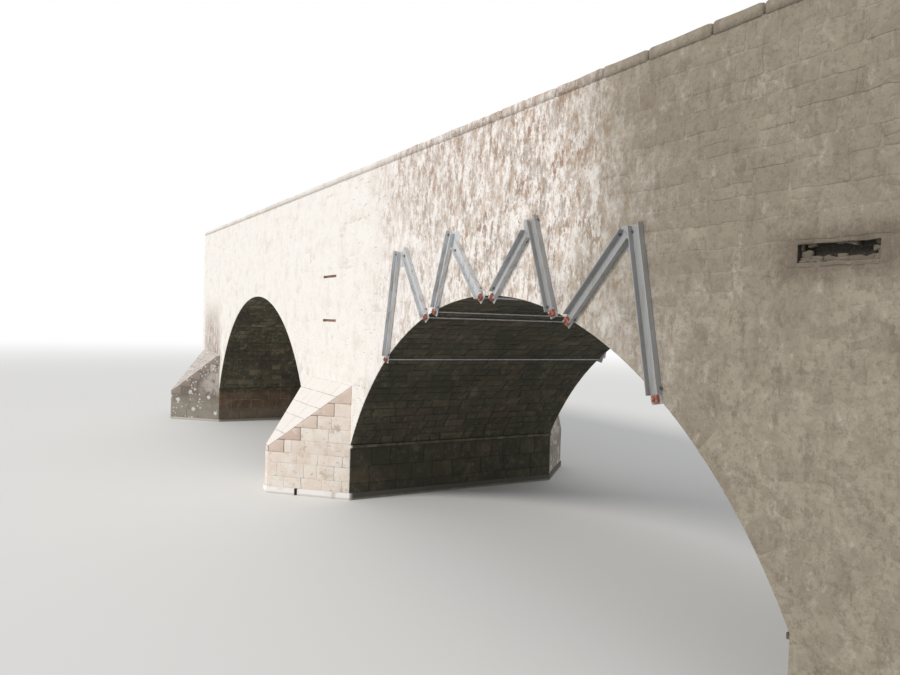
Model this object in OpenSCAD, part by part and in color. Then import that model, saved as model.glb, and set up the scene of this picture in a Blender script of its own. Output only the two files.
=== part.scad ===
// Two-arch stone road bridge with cutwaters, and a steel strut and tie frame
// round its larger arch. Millimetres. The origin is in the middle of the
// bridge's box at the level of the water, +X runs along the road, Y across it
// and -Y is the near side. The pier stands at the middle.

/* [Bridge] */
// How far the walls run on past the left cutwater to the end of the bridge
end_run = 150; // [100:10:2000]
// How far the walls run on past the right arch's springing to the end of the bridge
right_run = 2100; // [1800:10:4000]
// Width over the two faces
bridge_w = 5440; // [4600:10:7000]
// Height of the road above the water
road_z = 6200; // [5900:10:7200]
// Thickness of the road surface
road_t = 150; // [80:5:300]

/* [Arches] */
// Level at which both arches spring
spring_z = 1200; // [1000:10:1500]
// Clear span of the left arch
left_span = 9750; // [8500:10:10200]
// Rise of the left arch above its springing
left_rise = 3330; // [2900:10:3700]
// Clear span of the right arch
right_span = 10700; // [9500:10:11200]
// Rise of the right arch above its springing
right_rise = 3190; // [2800:10:3600]
// Depth of the arch stones, from the underside to the back
ring_t = 420; // [300:10:600]
// Height of the springing course
impost_h = 60; // [40:5:160]
// Projection of the springing course into the arch
impost_out = 40; // [15:5:80]
// How far the springing course runs back into an abutment
impost_back = 600; // [400:10:900]

/* [Walls] */
// Thickness of the side walls over the arches
wall_t = 600; // [450:10:900]
// Thickness of the parapets
parapet_t = 400; // [300:10:440]
// Height of the parapets above the road, without the coping
parapet_h = 850; // [600:10:1200]
// Height of the coping stones
coping_h = 150; // [80:5:250]
// Overhang of the coping beyond the parapet
coping_out = 30; // [10:5:60]
// Thickness of the walls that close the ends under the road
end_wall_t = 600; // [400:10:900]

/* [Pier and cutwaters] */
// Width of the pier between the two arches
pier_w = 2900; // [2300:10:3200]
// Projection of a cutwater's nose from the wall
cutwater_out = 1420; // [1000:10:1700]
// Width of the worn, blunt edge of a cutwater's nose
nose_flat = 200; // [60:10:400]
// Level at which a cutwater's sloping cap meets the wall
cap_top_z = 2500; // [2300:10:3000]
// Level of the cap at the nose
cap_nose_z = 1050; // [900:10:1300]
// Least thickness of the cap stones
cap_t = 120; // [60:5:200]
// Number of stepped courses that carry the cap stones
cap_steps = 5; // [4:1:7]
// Height of the plinth course round the pier
plinth_h = 150; // [100:5:250]
// Projection of the plinth course
plinth_out = 25; // [10:5:60]
// Width of the open joint in the plinth course
plinth_joint = 45; // [15:1:80]
// Distance of the open joint from the middle of the pier
joint_x = 580; // [300:10:1000]
// Height of the lower plinth course round the left cutwaters
left_plinth_h = 80; // [50:5:150]

/* [Wall openings] */
// Length of the two slots in the near wall over the pier
slot_len = 850; // [400:10:1100]
// Height of the slots
slot_h = 60; // [40:5:100]
// Depth of the slots
slot_deep = 60; // [30:5:120]
// Distance of the lower slot's middle from the middle of the pier
slot_x = 40; // [20:5:200]
// Level of the lower slot
slot_z = 3865; // [3700:5:4000]
// Height of the upper slot over the lower one
slot_rise = 1030; // [900:10:1200]
// How much farther left the upper slot lies
slot_shift = 40; // [0:5:200]
// Length of the gap that a lost stone has left in the near wall by the right abutment
gap_len = 770; // [400:10:900]
// Height of the gap
gap_h = 170; // [120:5:240]
// Depth of the gap
gap_deep = 120; // [60:5:200]
// Level of the gap's underside
gap_z = 4620; // [4500:10:5000]
// How far the gap reaches over the right arch from the line of its springing
gap_back = 90; // [50:5:200]

/* [Strut frame] */
// Depth of the steel channels over their flanges
channel_w = 180; // [120:5:200]
// Length of the channel flanges
channel_flange = 75; // [50:5:100]
// Thickness of the channel web
web_t = 8; // [5:1:14]
// Thickness of the channel flanges
flange_t = 11; // [6:1:16]
// Thickness of the bearing plates between the channels and the wall
plate_t = 12; // [8:1:20]
// Height of a foot plate above its rod
plate_above = 320; // [250:10:400]
// Height of a foot plate below its rod
plate_below = 60; // [45:5:100]
// Height of the plate behind two strut heads, below the higher head
head_plate_h = 300; // [240:10:360]
// How much narrower a foot plate is than its channel
plate_inset = 20; // [5:5:40]
// Distance between an iron block and the end of its channel
strut_gap = 8; // [5:1:20]
// Angle of the middle pairs of feet from the crown, measured round the arch
foot_mid = 17.5; // [16:0.1:19]
// Angle of the outer feet from the crown
foot_out = 36.4; // [35:0.1:38]
// Distance between the two feet of a pair
foot_gap = 340; // [300:5:400]
// Distance of the outer steep struts' heads from the middle of the arch
head_out_x = 3180; // [3050:10:3300]
// Level of the left outer steep strut's head
head_left_z = 5270; // [5150:10:5400]
// Level of the right outer steep strut's head
head_right_z = 5180; // [5100:10:5400]
// Distance between the two strut heads at the left end
gap_left = 290; // [270:5:340]
// Distance between the two strut heads at the right end
gap_right = 160; // [150:5:200]
// How much lower the leaning strut's head is at the right end
drop_right = 105; // [90:5:150]
// Distance of the inner steep struts' heads from the middle of the arch
head_in_x = 1150; // [1050:10:1300]
// Level of the inner steep struts' heads
head_in_z = 5460; // [5300:10:5600]
// Distance between the two strut heads of an inner pair
gap_in = 150; // [140:5:200]
// How much lower the leaning strut's head is in an inner pair
drop_in = 210; // [180:5:260]
// Diameter of the tie rods under the arch
rod_d = 24; // [16:1:36]
// Width of the iron blocks at the ends of the rods
block_w = 90; // [60:5:120]
// Height of the iron blocks
block_h = 80; // [60:5:100]
// Thickness of the iron blocks
block_t = 45; // [25:5:70]
// How far the rods run out of their nuts
rod_out = 20; // [5:1:40]

/* [Hidden] */

half_w = bridge_w / 2;
half_pier = pier_w / 2;
base_z = road_z - road_t;
inner_w = bridge_w - 2 * wall_t;
lane_w = bridge_w - 2 * parapet_t;
parapet_top_z = road_z + parapet_h;

// Radius of a segmental arch from its span and rise
function arch_r(span, rise) = (pow(span / 2, 2) + pow(rise, 2)) / (2 * rise);
left_r = arch_r(left_span, left_rise);
right_r = arch_r(right_span, right_rise);
left_x = -half_pier - left_span / 2;
right_x = half_pier + right_span / 2;
left_c = [left_x, spring_z + left_rise - left_r];
right_c = [right_x, spring_z + right_rise - right_r];
left_jamb = left_x - left_span / 2;
right_jamb = right_x + right_span / 2;
left_cutwater_x = left_jamb - half_pier;
// Each end of the bridge in X, measured from its own arch
left_end = left_jamb - pier_w - end_run;
right_end = right_jamb + right_run;

// Running clearance of a rod in its hole, and the rod's place under the arch
rod_fit = 0.5;
rod_gap = 15;
rod_drop = rod_gap + rod_d / 2;
// Width over the corners and height of a nut, in diameters of its rod
nut_wide = 1.73;
nut_high = 0.8;
nut_d = nut_wide * rod_d;
nut_t = nut_high * rod_d;
// Outer face of the nuts, from the wall
nut_face = plate_t + block_t + nut_t;
strut_start = block_h / 2 + strut_gap;
plate_w = channel_w - plate_inset;
// How far a cutting shape runs out of what it cuts
past = 1;
bore_past = 200;
arch_facets = 360;
rod_facets = 32;
nut_facets = 6;

stone = [0.78, 0.70, 0.62];
pale_stone = [0.90, 0.85, 0.79];
dark_stone = [0.38, 0.33, 0.28];
red_stone = [0.66, 0.45, 0.38];
earth = [0.45, 0.38, 0.30];
tarmac = [0.33, 0.33, 0.34];
steel = [0.60, 0.65, 0.70];
rust = [0.55, 0.24, 0.14];

// A box from one corner to the opposite one
module block(low, high) {
    translate(low) cube(high - low);
}

// Carries an outline drawn in X and Z to the depth between two values of Y
module across(y0, y1) {
    translate([0, y1, 0]) rotate([90, 0, 0]) linear_extrude(height = y1 - y0) children();
}

// Outline of everything inside an arch's circle of radius r, down past the base
module arch_disc(c, r) {
    translate(c) circle(r = r, $fn = arch_facets);
}

// Outline of an arch ring that stands on the springing level
module ring_outline(c, r) {
    intersection() {
        difference() {
            arch_disc(c, r + ring_t);
            arch_disc(c, r);
        }
        translate([c[0] - 2 * r, spring_z]) square([4 * r, 2 * r]);
    }
}

// Outline of the masonry over the springing between two values of X, behind both rings
module wall_outline(x0, x1, top) {
    difference() {
        translate([x0, spring_z]) square([x1 - x0, top - spring_z]);
        arch_disc(left_c, left_r + ring_t);
        arch_disc(right_c, right_r + ring_t);
    }
}

// Repeats a piece made for the near side on the far side
module far_side() {
    mirror([0, 1, 0]) children();
}

module pier() {
    color(stone) block([-half_pier, -half_w, 0], [half_pier, half_w, spring_z - impost_h]);
}

// Plan of the pier with its cutwaters, grown outwards by a distance
module pier_plan(grow) {
    x = half_pier + grow;
    flat = nose_flat / 2 + grow / 2;
    nose = half_w + cutwater_out + grow;
    polygon([[-x, -half_w], [-flat, -nose], [flat, -nose], [x, -half_w],
             [x, half_w], [flat, nose], [-flat, nose], [-x, half_w]]);
}

// Low course round the foot of a pier
module plinth(height) {
    color(pale_stone)
        difference() {
            linear_extrude(height = height) pier_plan(plinth_out);
            translate([0, 0, -past]) linear_extrude(height = height + 2 * past) pier_plan(0);
        }
}

// The pier's course has one open joint in the near right flank
module pier_plinth() {
    difference() {
        plinth(plinth_h);
        block([joint_x, -half_w - cutwater_out, -past],
              [joint_x + plinth_joint, -half_w, plinth_h + past]);
    }
}

// The left course stops where the end of the bridge begins
module left_plinth() {
    difference() {
        translate([left_cutwater_x, 0, 0]) plinth(left_plinth_h);
        block([left_end - past, -half_w, -past],
              [left_cutwater_x, half_w, left_plinth_h + past]);
    }
}

module pier_impost() {
    color(pale_stone)
        block([-half_pier - impost_out, -half_w, spring_z - impost_h],
              [half_pier + impost_out, half_w, spring_z]);
}

// Stepped bed under the cap, as distance from the wall and height, out to the nose
step_run = cutwater_out / cap_steps;
step_fall = (cap_top_z - cap_nose_z) / cap_steps;
BED_POINTS = [
    for (k = [1 : cap_steps]) each [
        [(k - 1) * step_run, cap_top_z - cap_t - k * step_fall],
        [k * step_run, cap_top_z - cap_t - k * step_fall]
    ]
];

// Plan of a cutwater on the near side: a triangle on the wall with a blunt nose
module cutwater_plan() {
    nose_y = -half_w - cutwater_out;
    polygon([[-half_pier, -half_w], [half_pier, -half_w], [nose_flat / 2, nose_y],
             [-nose_flat / 2, nose_y]]);
}

// Runs a profile of distance from the wall and height along the width of a cutwater
module cutwater_run() {
    translate([-half_pier, -half_w, 0]) rotate([0, 0, -90]) rotate([90, 0, 0])
        mirror([0, 0, 1]) linear_extrude(height = pier_w) children();
}

module cutwater_body(x) {
    translate([x, 0, 0]) color(stone)
        intersection() {
            linear_extrude(height = cap_top_z) cutwater_plan();
            cutwater_run() polygon(concat([[0, 0]], BED_POINTS, [[cutwater_out, 0]]));
        }
}

module cutwater_cap(x) {
    translate([x, 0, 0]) color(red_stone)
        intersection() {
            linear_extrude(height = cap_top_z) cutwater_plan();
            cutwater_run() polygon(concat([[0, cap_top_z]], BED_POINTS,
                                          [[cutwater_out, cap_nose_z]]));
        }
}

// Solid abutment under the springing, notched for the springing course
module abutment(jamb, end, side) {
    color(stone)
        difference() {
            across(-half_w, half_w)
                polygon([[jamb, 0], [end, 0], [end, spring_z], [jamb, spring_z]]);
            across(-half_w - past, half_w + past)
                polygon([[jamb - side * past, spring_z - impost_h],
                         [jamb + side * impost_back, spring_z - impost_h],
                         [jamb + side * impost_back, spring_z + past],
                         [jamb - side * past, spring_z + past]]);
        }
}

module abutment_impost(jamb, side) {
    near_x = jamb - side * impost_out;
    back_x = jamb + side * impost_back;
    color(pale_stone)
        block([min(near_x, back_x), -half_w, spring_z - impost_h],
              [max(near_x, back_x), half_w, spring_z]);
}

module barrel(c, r) {
    color(dark_stone) across(-inner_w / 2, inner_w / 2) ring_outline(c, r);
}

module ring_near(c, r) {
    color(stone) across(-half_w, -inner_w / 2) ring_outline(c, r);
}

module spandrel_near(x0, x1) {
    color(pale_stone) across(-half_w, -inner_w / 2) wall_outline(x0, x1, base_z);
}

// A hollow in the near face, from a low corner, to be cut out of the wall
module hollow(x, z, length, height, deep) {
    block([x, -half_w - past, z], [x + length, -half_w + deep, z + height]);
}

// Over the pier the near wall has two long slots, one above the other
module wall_middle_near() {
    difference() {
        spandrel_near(left_x, right_x);
        hollow(-slot_x - slot_len / 2, slot_z, slot_len, slot_h, slot_deep);
        hollow(-slot_x - slot_shift - slot_len / 2, slot_z + slot_rise, slot_len, slot_h,
               slot_deep);
    }
}

// By the right abutment a stone is missing
module wall_right_near() {
    difference() {
        spandrel_near(right_x, right_end);
        hollow(right_jamb - gap_back, gap_z, gap_len, gap_h, gap_deep);
    }
}

module end_wall(x0, x1) {
    color(stone) block([x0, -inner_w / 2, spring_z], [x1, inner_w / 2, base_z]);
}

module road_fill() {
    color(earth)
        across(-inner_w / 2, inner_w / 2)
            wall_outline(left_end + end_wall_t, right_end - end_wall_t, base_z);
}

module road_surface() {
    color(tarmac) block([left_end, -lane_w / 2, base_z], [right_end, lane_w / 2, road_z]);
}

module parapet_near() {
    color(pale_stone)
        block([left_end, -half_w, base_z], [right_end, -lane_w / 2, parapet_top_z]);
}

module coping_near() {
    color(stone)
        block([left_end, -half_w - coping_out, parapet_top_z],
              [right_end, -lane_w / 2 + coping_out, parapet_top_z + coping_h]);
}

// Angle by which one foot of a pair lies off the middle of the pair
foot_turn = asin(foot_gap / 2 / right_r);
// Angles of the four feet on one half of the arch, from its crown, the outer one first
FOOT_ANGLES = [foot_out, foot_mid + foot_turn, foot_mid - foot_turn, foot_turn];
// Heads of the four struts on each half, as distance from the middle of the arch and level
LEFT_HEADS = [[head_out_x, head_left_z], [head_out_x - gap_left, head_left_z],
              [head_in_x, head_in_z], [head_in_x - gap_in, head_in_z - drop_in]];
RIGHT_HEADS = [[head_out_x, head_right_z],
               [head_out_x - gap_right, head_right_z - drop_right],
               [head_in_x, head_in_z], [head_in_x - gap_in, head_in_z - drop_in]];
// Side of the arch and number of each strut
STRUTS = [for (side = [-1, 1]) for (i = [0 : 3]) [side, i]];

// Middle of a tie rod, hung close under the arch, and the head of its strut, in X and Z
function foot_angle(s) = s[0] * FOOT_ANGLES[s[1]];
function rod_at(s) = right_c + (right_r - rod_drop) * [sin(foot_angle(s)), cos(foot_angle(s))];
function head_place(s) = s[0] < 0 ? LEFT_HEADS[s[1]] : RIGHT_HEADS[s[1]];
function head_at(s) = [right_x + s[0] * head_place(s)[0], head_place(s)[1]];
function strut_run(s) = head_at(s) - rod_at(s);

// Places a piece on the near face with its origin on a rod and +Z along the rod's strut
module along_strut(s) {
    translate([rod_at(s)[0], -half_w, rod_at(s)[1]])
        rotate([0, atan2(strut_run(s)[0], strut_run(s)[1]), 0])
            children();
}

// Bore across the face for a tie rod
module rod_bore() {
    translate([0, bore_past, 0]) rotate([90, 0, 0])
        cylinder(d = rod_d + 2 * rod_fit, h = 2 * bore_past, $fn = rod_facets);
}

// Steel channels, open to the outside, each from just above its rod to its head
module struts_near() {
    half = channel_w / 2;
    color(steel) for (s = STRUTS) along_strut(s) translate([0, -plate_t, 0])
        difference() {
            block([-half, -channel_flange, strut_start], [half, 0, norm(strut_run(s))]);
            block([-half + flange_t, -channel_flange - past, 0],
                  [half - flange_t, -web_t, norm(strut_run(s)) + past]);
        }
}

module foot_plates_near() {
    color(steel) for (s = STRUTS) along_strut(s)
        difference() {
            block([-plate_w / 2, -plate_t, -plate_below], [plate_w / 2, 0, plate_above]);
            rod_bore();
        }
}

// Iron blocks, each with the nut of its rod
module foot_blocks_near() {
    color(rust) for (s = STRUTS) along_strut(s)
        difference() {
            union() {
                block([-block_w / 2, -plate_t - block_t, -block_h / 2],
                      [block_w / 2, -plate_t, block_h / 2]);
                translate([0, -plate_t, 0]) rotate([90, 0, 0])
                    cylinder(d = nut_d, h = block_t + nut_t, $fn = nut_facets);
            }
            rod_bore();
        }
}

// One plate behind each pair of strut heads
module head_plates_near() {
    color(steel) for (side = [-1, 1]) for (i = [0, 2]) {
        steep = head_at([side, i]);
        leaning = head_at([side, i + 1]);
        block([min(steep[0], leaning[0]) - channel_w / 2, -half_w - plate_t,
               steep[1] - head_plate_h],
              [max(steep[0], leaning[0]) + channel_w / 2, -half_w, steep[1]]);
    }
}

// Rods from face to face under the arch, each running out a little past its nuts
module tie_rods() {
    reach = half_w + nut_face + rod_out;
    color(steel) for (s = STRUTS)
        translate([rod_at(s)[0], 0, rod_at(s)[1]]) rotate([90, 0, 0])
            cylinder(d = rod_d, h = 2 * reach, center = true, $fn = rod_facets);
}

pier();
pier_plinth();
left_plinth();
pier_impost();
cutwater_body(0);  // pier_cutwater_near
far_side() cutwater_body(0);  // pier_cutwater_far
cutwater_cap(0);  // pier_cap_near
far_side() cutwater_cap(0);  // pier_cap_far
abutment(left_jamb, left_end, -1);  // abutment_left
abutment(right_jamb, right_end, 1);  // abutment_right
abutment_impost(left_jamb, -1);  // impost_left
abutment_impost(right_jamb, 1);  // impost_right
cutwater_body(left_cutwater_x);  // left_cutwater_near
far_side() cutwater_body(left_cutwater_x);  // left_cutwater_far
cutwater_cap(left_cutwater_x);  // left_cap_near
far_side() cutwater_cap(left_cutwater_x);  // left_cap_far
barrel(left_c, left_r);  // barrel_left
barrel(right_c, right_r);  // barrel_right
ring_near(left_c, left_r);  // ring_near_left
ring_near(right_c, right_r);  // ring_near_right
far_side() ring_near(left_c, left_r);  // ring_far_left
far_side() ring_near(right_c, right_r);  // ring_far_right
spandrel_near(left_end, left_x);  // spandrel_near_left
wall_middle_near();  // spandrel_near_middle
wall_right_near();  // spandrel_near_right
far_side() spandrel_near(left_end, left_x);  // spandrel_far_left
far_side() spandrel_near(left_x, right_x);  // spandrel_far_middle
far_side() spandrel_near(right_x, right_end);  // spandrel_far_right
end_wall(left_end, left_end + end_wall_t);  // end_wall_left
end_wall(right_end - end_wall_t, right_end);  // end_wall_right
road_fill();
road_surface();
parapet_near();
far_side() parapet_near();  // parapet_far
coping_near();
far_side() coping_near();  // coping_far
struts_near();
far_side() struts_near();  // struts_far
foot_plates_near();
far_side() foot_plates_near();  // foot_plates_far
head_plates_near();
far_side() head_plates_near();  // head_plates_far
foot_blocks_near();
far_side() foot_blocks_near();  // foot_blocks_far
tie_rods();
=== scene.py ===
import math
import random
from collections import namedtuple

import bmesh
import bpy
from mathutils import Matrix, Vector, noise


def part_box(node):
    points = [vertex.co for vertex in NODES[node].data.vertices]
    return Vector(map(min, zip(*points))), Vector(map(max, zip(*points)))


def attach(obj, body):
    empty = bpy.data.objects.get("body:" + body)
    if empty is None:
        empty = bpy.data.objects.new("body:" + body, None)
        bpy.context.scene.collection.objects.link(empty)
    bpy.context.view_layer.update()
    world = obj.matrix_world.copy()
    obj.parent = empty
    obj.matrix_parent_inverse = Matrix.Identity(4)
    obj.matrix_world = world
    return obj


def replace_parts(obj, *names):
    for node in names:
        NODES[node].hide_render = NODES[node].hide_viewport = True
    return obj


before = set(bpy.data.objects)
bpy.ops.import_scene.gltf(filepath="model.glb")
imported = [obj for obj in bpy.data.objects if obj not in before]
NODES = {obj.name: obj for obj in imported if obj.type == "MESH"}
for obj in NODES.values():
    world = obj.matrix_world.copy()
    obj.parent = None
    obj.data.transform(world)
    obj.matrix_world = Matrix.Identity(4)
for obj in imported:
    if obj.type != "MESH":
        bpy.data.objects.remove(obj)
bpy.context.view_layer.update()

# Corners this near to a plane, in metres, lie on it
TOUCH = 0.001

# Lines of the bridge, read from its solids. Metres: X along the road, -Y the near face.
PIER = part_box("pier")
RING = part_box("ring_near_left")
LEFT_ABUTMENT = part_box("abutment_left")
RIGHT_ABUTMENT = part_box("abutment_right")
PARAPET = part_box("parapet_near")
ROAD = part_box("road_surface")
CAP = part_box("pier_cap_near")
LEFT_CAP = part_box("left_cap_near")
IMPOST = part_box("pier_impost")
HALF_PIER = PIER[1].x
HALF_W = PIER[1].y
SPRING_Z = RING[0].z
LEFT_END, RIGHT_END = LEFT_ABUTMENT[0].x, RIGHT_ABUTMENT[1].x
LEFT_CUTWATER = (LEFT_CAP[0].x + LEFT_CAP[1].x) / 2

# The cutwaters: how far they reach out, their blunt nose and their sloping cap laid in steps
CUTWATER_OUT = CAP[1].y - CAP[0].y
CAP_TOP_Z = CAP[1].z
CAP_LOW_Z = CAP[0].z
NOSE = [v.co for v in NODES["pier_cap_near"].data.vertices if v.co.y < CAP[0].y + TOUCH]
NOSE_HALF = max(abs(v.x) for v in NOSE)
NOSE_Z = max(v.z for v in NOSE)
CAP_STEPS = 5


class Arch:
    """A segmental arch: its centre, the radius of its underside and of the back of its ring."""

    def __init__(self, ring, low_x, high_x):
        low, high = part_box(ring)
        chord, rise = (high.x - low.x) / 2, high.z - low.z
        self.back_r = (chord**2 + rise**2) / (2 * rise)
        self.x = (low_x + high_x) / 2
        self.z = high.z - self.back_r
        self.half_span = (high_x - low_x) / 2
        self.r = math.hypot(self.half_span, SPRING_Z - self.z)
        self.half_angle = math.asin(self.half_span / self.r)

    def at(self, angle, r):
        return self.x + r * math.sin(angle), self.z + r * math.cos(angle)

    def beyond(self, r):
        """A rule that keeps what lies outside a radius."""
        return lambda u, v: math.hypot(u - self.x, v - self.z) - r


LEFT_ARCH = Arch("ring_near_left", LEFT_ABUTMENT[1].x, -HALF_PIER)
RIGHT_ARCH = Arch("ring_near_right", HALF_PIER, RIGHT_ABUTMENT[0].x)
ARCHES = (LEFT_ARCH, RIGHT_ARCH)


def sunk(*names):
    """Boxes (low X, high X, low Z, high Z) of the hollows sunk in the near face, 0.02 to 0.2 m deep."""
    least, most = 0.02, 0.2
    floors = [v.co for name in names for v in NODES[name].data.vertices if least < HALF_W + v.co.y < most]
    levels = sorted({round(p.z, 3) for p in floors})
    boxes = []
    for low, high in zip(levels[::2], levels[1::2]):
        row = [p.x for p in floors if low - TOUCH < p.z < high + TOUCH]
        boxes.append((min(row), max(row), low, high))
    return boxes


HOLLOWS = sunk("spandrel_near_middle", "spandrel_near_right")
GAP = max(HOLLOWS)

# The open joint of the pier's plinth: its corners are the only ones between the nose and the pier
OPEN_JOINT = [v.co.x for v in NODES["pier_plinth"].data.vertices if 0.2 < v.co.x < HALF_PIER - 0.1]

# How stones are laid, true to scale: usual length and course, relief, roughness of the edges, joint,
# wave of the beds, slant of the upright joints, and the share laid as two thin stones
Bond = namedtuple("Bond", "length course relief rough joint wave slant split")
RUBBLE = Bond(length=0.42, course=0.25, relief=0.0062, rough=0.013, joint=0.010, wave=0.010, slant=0.025,
              split=0.18)
PARAPET_RUBBLE = RUBBLE._replace(rough=0.008)
END_RUBBLE = RUBBLE._replace(relief=0.0055, rough=0.012)
ARCH_STONES = RUBBLE._replace(length=0.27, relief=0.0066, rough=0.006, slant=0.006, split=0.0)
VAULT_COURSES = RUBBLE._replace(course=0.21, relief=0.013, rough=0.009, wave=0.004, split=0.0)
JAMB_BLOCKS = RUBBLE._replace(length=0.56, course=0.38, relief=0.012, rough=0.008, wave=0.004, split=0.0)
ASHLAR_BLOCKS = Bond(length=0.52, course=0.285, relief=0.0040, rough=0.005, joint=0.0045, wave=0.004,
                     slant=0.012, split=0.0)
STEP_BLOCKS = ASHLAR_BLOCKS._replace(length=0.5)
CAP_SLABS = ASHLAR_BLOCKS._replace(length=0.62, joint=0.0035, wave=0.003, slant=0.01)

# The lime coat: cells of its sheet, usual, least and greatest depth, depth lost by the top on the right,
# how far its edges turn in, and how far from the gap it starts
COAT_CELL = 0.09
COAT, COAT_LEAST, COAT_MOST, COAT_LOST = 0.0078, 0.0006, 0.0090, 0.0042
COAT_EDGE = 0.012
CLEAR_OF_GAP = 0.02

# Bolts through the struts: sides, radius and how far off the web the washer, nut and shank start and stop
WASHER, NUT, SHANK = (16, 0.026, 0.0, 0.004), (6, 0.019, 0.004, 0.019), (12, 0.010, 0.019, 0.028)
BOLT_FROM_END = 0.07


def share(value, start, reach):
    """0 up to start, then rising to 1 over the reach."""
    return min(max((value - start) / reach, 0.0), 1.0)


def clip(outline, keep):
    """Cuts an outline back to where keep(u, v) is not negative."""
    made = []
    for (u0, v0), (u1, v1) in zip(outline, outline[1:] + outline[:1]):
        d0, d1 = keep(u0, v0), keep(u1, v1)
        if d0 >= 0:
            made.append((u0, v0))
        if (d0 >= 0) != (d1 >= 0):
            t = d0 / (d0 - d1)
            made.append((u0 + (u1 - u0) * t, v0 + (v1 - v0) * t))
    return made


def area(outline):
    return sum(u0 * v1 - u1 * v0 for (u0, v0), (u1, v1) in zip(outline, outline[1:] + outline[:1])) / 2


def centre(outline):
    return sum(u for u, v in outline) / len(outline), sum(v for u, v in outline) / len(outline)


def drawn_in(outline, distance):
    """The outline moved towards its middle by a distance."""
    cu, cv = centre(outline)
    made = []
    for u, v in outline:
        reach = math.hypot(cu - u, cv - v)
        part = min(distance / max(reach, 1e-6), 0.85)
        made.append((u + (cu - u) * part, v + (cv - v) * part))
    return made


def weathered(outline, rng, rough, step):
    """Breaks long edges, moves their points a little and cuts the sharp corners off."""
    corner, sharp = 0.14, 0.5
    points = []
    for (u0, v0), (u1, v1) in zip(outline, outline[1:] + outline[:1]):
        parts = max(1, round(math.hypot(u1 - u0, v1 - v0) / step))
        for i in range(parts):
            t = i / parts
            wander = rough if i else rough * 0.5
            points.append((u0 + (u1 - u0) * t + rng.uniform(-wander, wander),
                           v0 + (v1 - v0) * t + rng.uniform(-wander, wander)))
    cut = []
    for i, (u, v) in enumerate(points):
        (ua, va), (ub, vb) = points[i - 1], points[(i + 1) % len(points)]
        bend = abs((u - ua) * (vb - v) - (v - va) * (ub - u))
        reach = math.hypot(u - ua, v - va) * math.hypot(ub - u, vb - v)
        if reach and bend / reach > sharp:
            cut.append((u + (ua - u) * corner, v + (va - v) * corner))
            cut.append((u + (ub - u) * corner, v + (vb - v) * corner))
        else:
            cut.append((u, v))
    return cut


def even_beds(rng, low, high, course):
    """Levels of the beds between two levels, about a course apart."""
    count = max(1, round((high - low) / course))
    steps = [rng.uniform(0.82, 1.2) for _ in range(count)]
    scale = (high - low) / sum(steps)
    beds = [low]
    for step in steps:
        beds.append(beds[-1] + step * scale)
    return beds


def halved(quad, t):
    """Two thin stones in place of one, parted by a bed at a share of its height."""
    (a0, v0), (b0, v1), (b1, v2), (a1, v3) = quad
    left = (a0 + (a1 - a0) * t, v0 + (v3 - v0) * t)
    right = (b0 + (b1 - b0) * t, v1 + (v2 - v1) * t)
    return [[quad[0], quad[1], right, left], [left, right, quad[2], quad[3]]]


def around(quad, hollow):
    """The parts of an outline that lie left, right, below and above a hollow."""
    x0, x1, z0, z1 = hollow
    us, vs = [p[0] for p in quad], [p[1] for p in quad]
    if max(us) <= x0 or min(us) >= x1 or max(vs) <= z0 or min(vs) >= z1:
        return [quad]
    middle = clip(clip(quad, lambda u, v: u - x0), lambda u, v: x1 - u)
    parts = [clip(quad, lambda u, v: x0 - u), clip(quad, lambda u, v: u - x1),
             clip(middle, lambda u, v: z0 - v), clip(middle, lambda u, v: v - z1)]
    return [part for part in parts if len(part) > 2]


def linked(name, mesh, material):
    """Puts a finished mesh into the scene as a piece of the bridge."""
    mesh.materials.append(material)
    piece = bpy.data.objects.new(name, mesh)
    bpy.context.scene.collection.objects.link(piece)
    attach(piece, "root")
    return piece


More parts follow.
